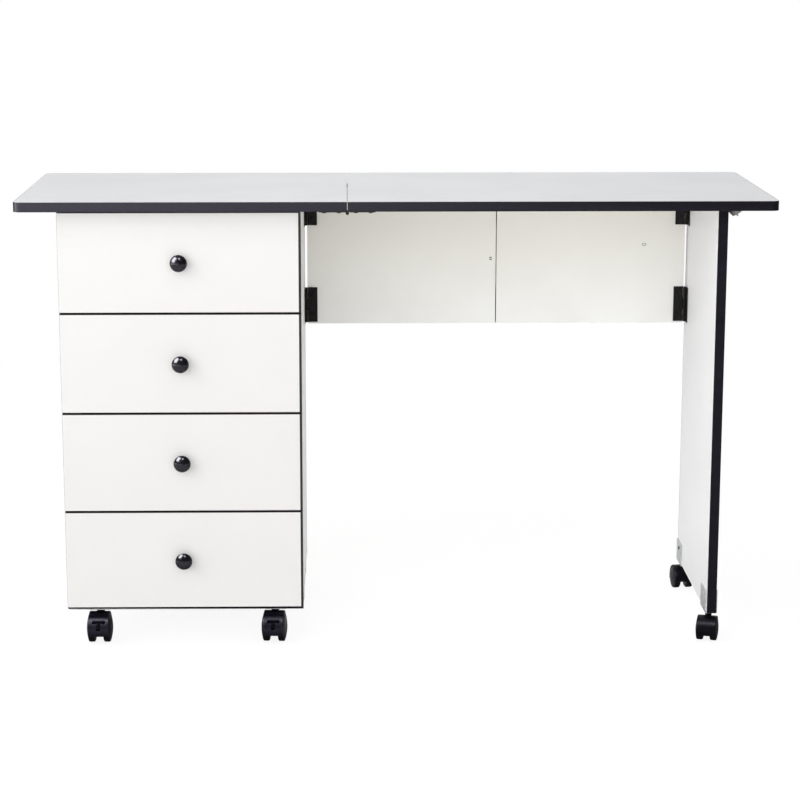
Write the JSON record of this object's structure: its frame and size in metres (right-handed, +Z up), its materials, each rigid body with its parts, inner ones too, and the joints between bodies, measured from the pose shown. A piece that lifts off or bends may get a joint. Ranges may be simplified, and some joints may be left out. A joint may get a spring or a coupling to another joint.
{
  "type": "folding sewing cutting table",
  "caption": "Folding sewing and cutting table: castored drawer cabinet, fixed top, hinged leaf carried by a castored leg panel on a folding apron.",
  "frame": {"origin": "on the floor, under the middle of the whole top's outline", "axes": "+X from the cabinet end to the leaf's free end, -Y the drawer fronts, +Z up"},
  "size_m": [1.25, 0.46, 0.76],
  "materials": {
    "white_laminate": "matt melamine",
    "drawer_front_laminate": "satin melamine",
    "apron_laminate": "matt melamine",
    "black_edging": "satin PVC edging",
    "drawer_chipboard": "matt melamine",
    "hardboard": "painted hardboard",
    "runner_plastic": "moulded plastic",
    "hinge_black": "black stove enamel",
    "pin_steel": "drawn steel",
    "saddle_steel": "bright zinc",
    "catch_nickel": "bright nickel",
    "knob_black": "gloss black",
    "castor_black": "satin black nylon",
    "castor_wheel_black": "black nylon with softer tread",
    "brake_black": "moulded black nylon"
  },
  "bodies": {
    "cabinet": {"cabinet_side_left": "white_laminate", "cabinet_side_right": "white_laminate", "cabinet_bottom": "white_laminate", "cabinet_back": "hardboard", "cabinet_rails": "white_laminate", "cabinet_runners": "runner_plastic", "table_top": "white_laminate", "table_top_edging": "black_edging", "top_hinge_leaves": "hinge_black", "leaf_hinge_pins": "pin_steel", "cabinet_hinge_leaves": "hinge_black", "cabinet_hinge_pins": "pin_steel", "castor_plates": "pin_steel"},
    "leaf": {"leaf_board": "white_laminate", "leaf_edging": "black_edging", "leaf_hinge_leaves": "hinge_black", "leaf_catch": "catch_nickel"},
    "apron_left": {"apron_left_panel": "apron_laminate", "apron_left_hinge_leaves": "hinge_black", "apron_left_fold_leaves": "hinge_black", "fold_hinge_pins": "pin_steel"},
    "apron_right": {"apron_right_panel": "apron_laminate", "apron_right_fold_leaves": "hinge_black", "apron_right_hinge_leaves": "hinge_black"},
    "leg": {"leg_panel": "white_laminate", "leg_edging": "black_edging", "leg_hinge_leaves": "hinge_black", "leg_hinge_pins": "pin_steel", "leg_saddles": "saddle_steel", "leg_castor_stems": "pin_steel"},
    "drawer_1": {"drawer_1_front": "drawer_front_laminate", "drawer_1_box": "drawer_chipboard", "drawer_1_knob": "knob_black"},
    "drawer_2": {"drawer_2_front": "drawer_front_laminate", "drawer_2_box": "drawer_chipboard", "drawer_2_knob": "knob_black"},
    "drawer_3": {"drawer_3_front": "drawer_front_laminate", "drawer_3_box": "drawer_chipboard", "drawer_3_knob": "knob_black"},
    "drawer_4": {"drawer_4_front": "drawer_front_laminate", "drawer_4_box": "drawer_chipboard", "drawer_4_knob": "knob_black"},
    "castor_front_left": {"castor_front_left_hood": "castor_black"},
    "castor_front_left_wheels": {"castor_front_left_wheels": "castor_wheel_black"},
    "castor_front_left_brake": {"castor_front_left_brake": "brake_black"},
    "castor_front_right": {"castor_front_right_hood": "castor_black"},
    "castor_front_right_wheels": {"castor_front_right_wheels": "castor_wheel_black"},
    "castor_front_right_brake": {"castor_front_right_brake": "brake_black"},
    "castor_rear_left": {"castor_rear_left_hood": "castor_black"},
    "castor_rear_left_wheels": {"castor_rear_left_wheels": "castor_wheel_black"},
    "castor_rear_right": {"castor_rear_right_hood": "castor_black"},
    "castor_rear_right_wheels": {"castor_rear_right_wheels": "castor_wheel_black"},
    "castor_leg_front": {"castor_leg_front_hood": "castor_black"},
    "castor_leg_front_wheels": {"castor_leg_front_wheels": "castor_wheel_black"},
    "castor_leg_rear": {"castor_leg_rear_hood": "castor_black"},
    "castor_leg_rear_wheels": {"castor_leg_rear_wheels": "castor_wheel_black"}
  },
  "joints": [
    {"name": "gate_fold", "type": "hinge", "parent": "cabinet", "child": "apron_left", "pos_m": [-0.155, 0.144, 0.6], "axis": [0, 0, -1], "range_deg": [0, 90]},
    {"name": "apron_fold", "type": "hinge", "parent": "apron_left", "child": "apron_right", "pos_m": [0.186, 0.166, 0.6], "axis": [0, 0, 1], "range_deg": [0, 180]},
    {"name": "leg_fold", "type": "hinge", "parent": "apron_right", "child": "leg", "pos_m": [0.527, 0.144, 0.6], "axis": [0, 0, -1], "range_deg": [0, 90]},
    {"name": "leaf_lift", "type": "hinge", "parent": "cabinet", "child": "leaf", "pos_m": [-0.081, 0, 0.741], "axis": [0, -1, 0], "range_deg": [0, 2.5]},
    {"name": "drawer_1_slide", "type": "slide", "parent": "cabinet", "child": "drawer_1", "axis": [0, -1, 0], "range_m": [0, 0.25]},
    {"name": "drawer_2_slide", "type": "slide", "parent": "cabinet", "child": "drawer_2", "axis": [0, -1, 0], "range_m": [0, 0.25]},
    {"name": "drawer_3_slide", "type": "slide", "parent": "cabinet", "child": "drawer_3", "axis": [0, -1, 0], "range_m": [0, 0.25]},
    {"name": "drawer_4_slide", "type": "slide", "parent": "cabinet", "child": "drawer_4", "axis": [0, -1, 0], "range_m": [0, 0.25]},
    {"name": "castor_front_left_swivel", "type": "hinge", "parent": "cabinet", "child": "castor_front_left", "pos_m": [-0.5065, -0.155, 0.04], "axis": [0, 0, 1], "continuous": true},
    {"name": "castor_front_left_roll", "type": "hinge", "parent": "castor_front_left", "child": "castor_front_left_wheels", "pos_m": [-0.50681, -0.173, 0.025], "axis": [0.9998, -0.0175, 0], "continuous": true},
    {"name": "castor_front_left_brake_tilt", "type": "hinge", "parent": "castor_front_left", "child": "castor_front_left_brake", "pos_m": [-0.50719, -0.19443, 0.02995], "axis": [0.9998, -0.0175, 0], "range_deg": [0, 20]},
    {"name": "castor_front_right_swivel", "type": "hinge", "parent": "cabinet", "child": "castor_front_right", "pos_m": [-0.207, -0.155, 0.04], "axis": [0, 0, 1], "continuous": true},
    {"name": "castor_front_right_roll", "type": "hinge", "parent": "castor_front_right", "child": "castor_front_right_wheels", "pos_m": [-0.20826, -0.17296, 0.025], "axis": [0.9976, -0.0698, 0], "continuous": true},
    {"name": "castor_front_right_brake_tilt", "type": "hinge", "parent": "castor_front_right", "child": "castor_front_right_brake", "pos_m": [-0.20975, -0.19434, 0.02995], "axis": [0.9976, -0.0698, 0], "range_deg": [0, 20]},
    {"name": "castor_rear_left_swivel", "type": "hinge", "parent": "cabinet", "child": "castor_rear_left", "pos_m": [-0.5065, 0.165, 0.04], "axis": [0, 0, 1], "continuous": true},
    {"name": "castor_rear_left_roll", "type": "hinge", "parent": "castor_rear_left", "child": "castor_rear_left_wheels", "pos_m": [-0.50399, 0.18282, 0.025], "axis": [-0.9903, 0.1392, 0], "continuous": true},
    {"name": "castor_rear_right_swivel", "type": "hinge", "parent": "cabinet", "child": "castor_rear_right", "pos_m": [-0.207, 0.165, 0.04], "axis": [0, 0, 1], "continuous": true},
    {"name": "castor_rear_right_roll", "type": "hinge", "parent": "castor_rear_right", "child": "castor_rear_right_wheels", "pos_m": [-0.20888, 0.1829, 0.025], "axis": [-0.9945, -0.1045, 0], "continuous": true},
    {"name": "castor_leg_front_swivel", "type": "hinge", "parent": "leg", "child": "castor_leg_front", "pos_m": [0.538, -0.1665, 0.04], "axis": [0, 0, 1], "continuous": true},
    {"name": "castor_leg_front_roll", "type": "hinge", "parent": "castor_leg_front", "child": "castor_leg_front_wheels", "pos_m": [0.53438, -0.18002, 0.02], "axis": [0.9659, -0.2588, 0], "continuous": true},
    {"name": "castor_leg_rear_swivel", "type": "hinge", "parent": "leg", "child": "castor_leg_rear", "pos_m": [0.538, 0.135, 0.04], "axis": [0, 0, 1], "continuous": true},
    {"name": "castor_leg_rear_roll", "type": "hinge", "parent": "castor_leg_rear", "child": "castor_leg_rear_wheels", "pos_m": [0.53605, 0.14886, 0.02], "axis": [-0.9903, -0.1392, 0], "continuous": true}
  ],
  "couplings": [
    {"joint": "apron_fold", "follows": "gate_fold", "ratio": 2},
    {"joint": "leg_fold", "follows": "gate_fold", "ratio": 1}
  ]
}
